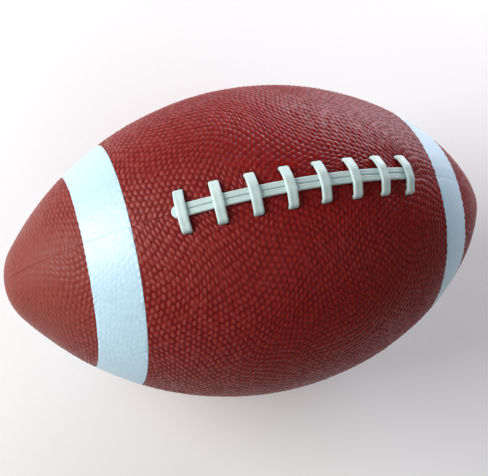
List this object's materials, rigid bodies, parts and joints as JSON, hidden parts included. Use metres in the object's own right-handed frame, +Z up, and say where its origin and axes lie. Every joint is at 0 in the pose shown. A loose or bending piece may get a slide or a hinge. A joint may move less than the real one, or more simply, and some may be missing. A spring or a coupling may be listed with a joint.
{
  "type": "american football",
  "caption": "Laced prolate ball: leather gores seamed over a lining and an inflatable bladder, with white end stripes and a raised lacing to grip for throwing.",
  "frame": {"origin": "the lowest point of the ball, under its middle, with the lacing straight up", "axes": "+X along the long axis (the viewer's right tip when the lacing is up and the viewer is on the -Y side), +Y across, +Z up through the lacing"},
  "size_m": [0.28, 0.171, 0.175],
  "materials": {
    "cover_leather": "pebbled, satin",
    "lining_cloth": "woven, three-ply",
    "seam_thread": "waxed twist",
    "facing_tape": "woven tape",
    "tongue_leather": "plain",
    "lace_vinyl": "soft satin",
    "stripe_paint": "matt paint over pebbles",
    "bladder_rubber": "talced",
    "valve_rubber": "moulded",
    "plug_rubber": "moulded",
    "patch_cloth": "woven"
  },
  "bodies": {
    "root": {"cover_top_far": "cover_leather", "cover_top_near": "cover_leather", "cover_bottom_near": "cover_leather", "cover_bottom_far": "cover_leather", "lining_top_far": "lining_cloth", "lining_top_near": "lining_cloth", "lining_bottom_near": "lining_cloth", "lining_bottom_far": "lining_cloth", "seam_thread_far": "seam_thread", "seam_thread_near": "seam_thread", "seam_thread_bottom": "seam_thread", "seam_thread_top_left": "seam_thread", "seam_thread_top_right": "seam_thread", "lace_facing_far": "facing_tape", "lace_facing_near": "facing_tape", "lace_tongue": "tongue_leather", "lace": "lace_vinyl", "stripe_left": "stripe_paint", "stripe_right": "stripe_paint", "bladder": "bladder_rubber", "valve_housing": "valve_rubber", "valve_plug": "plug_rubber", "valve_patch": "patch_cloth"}
  },
  "joints": []
}
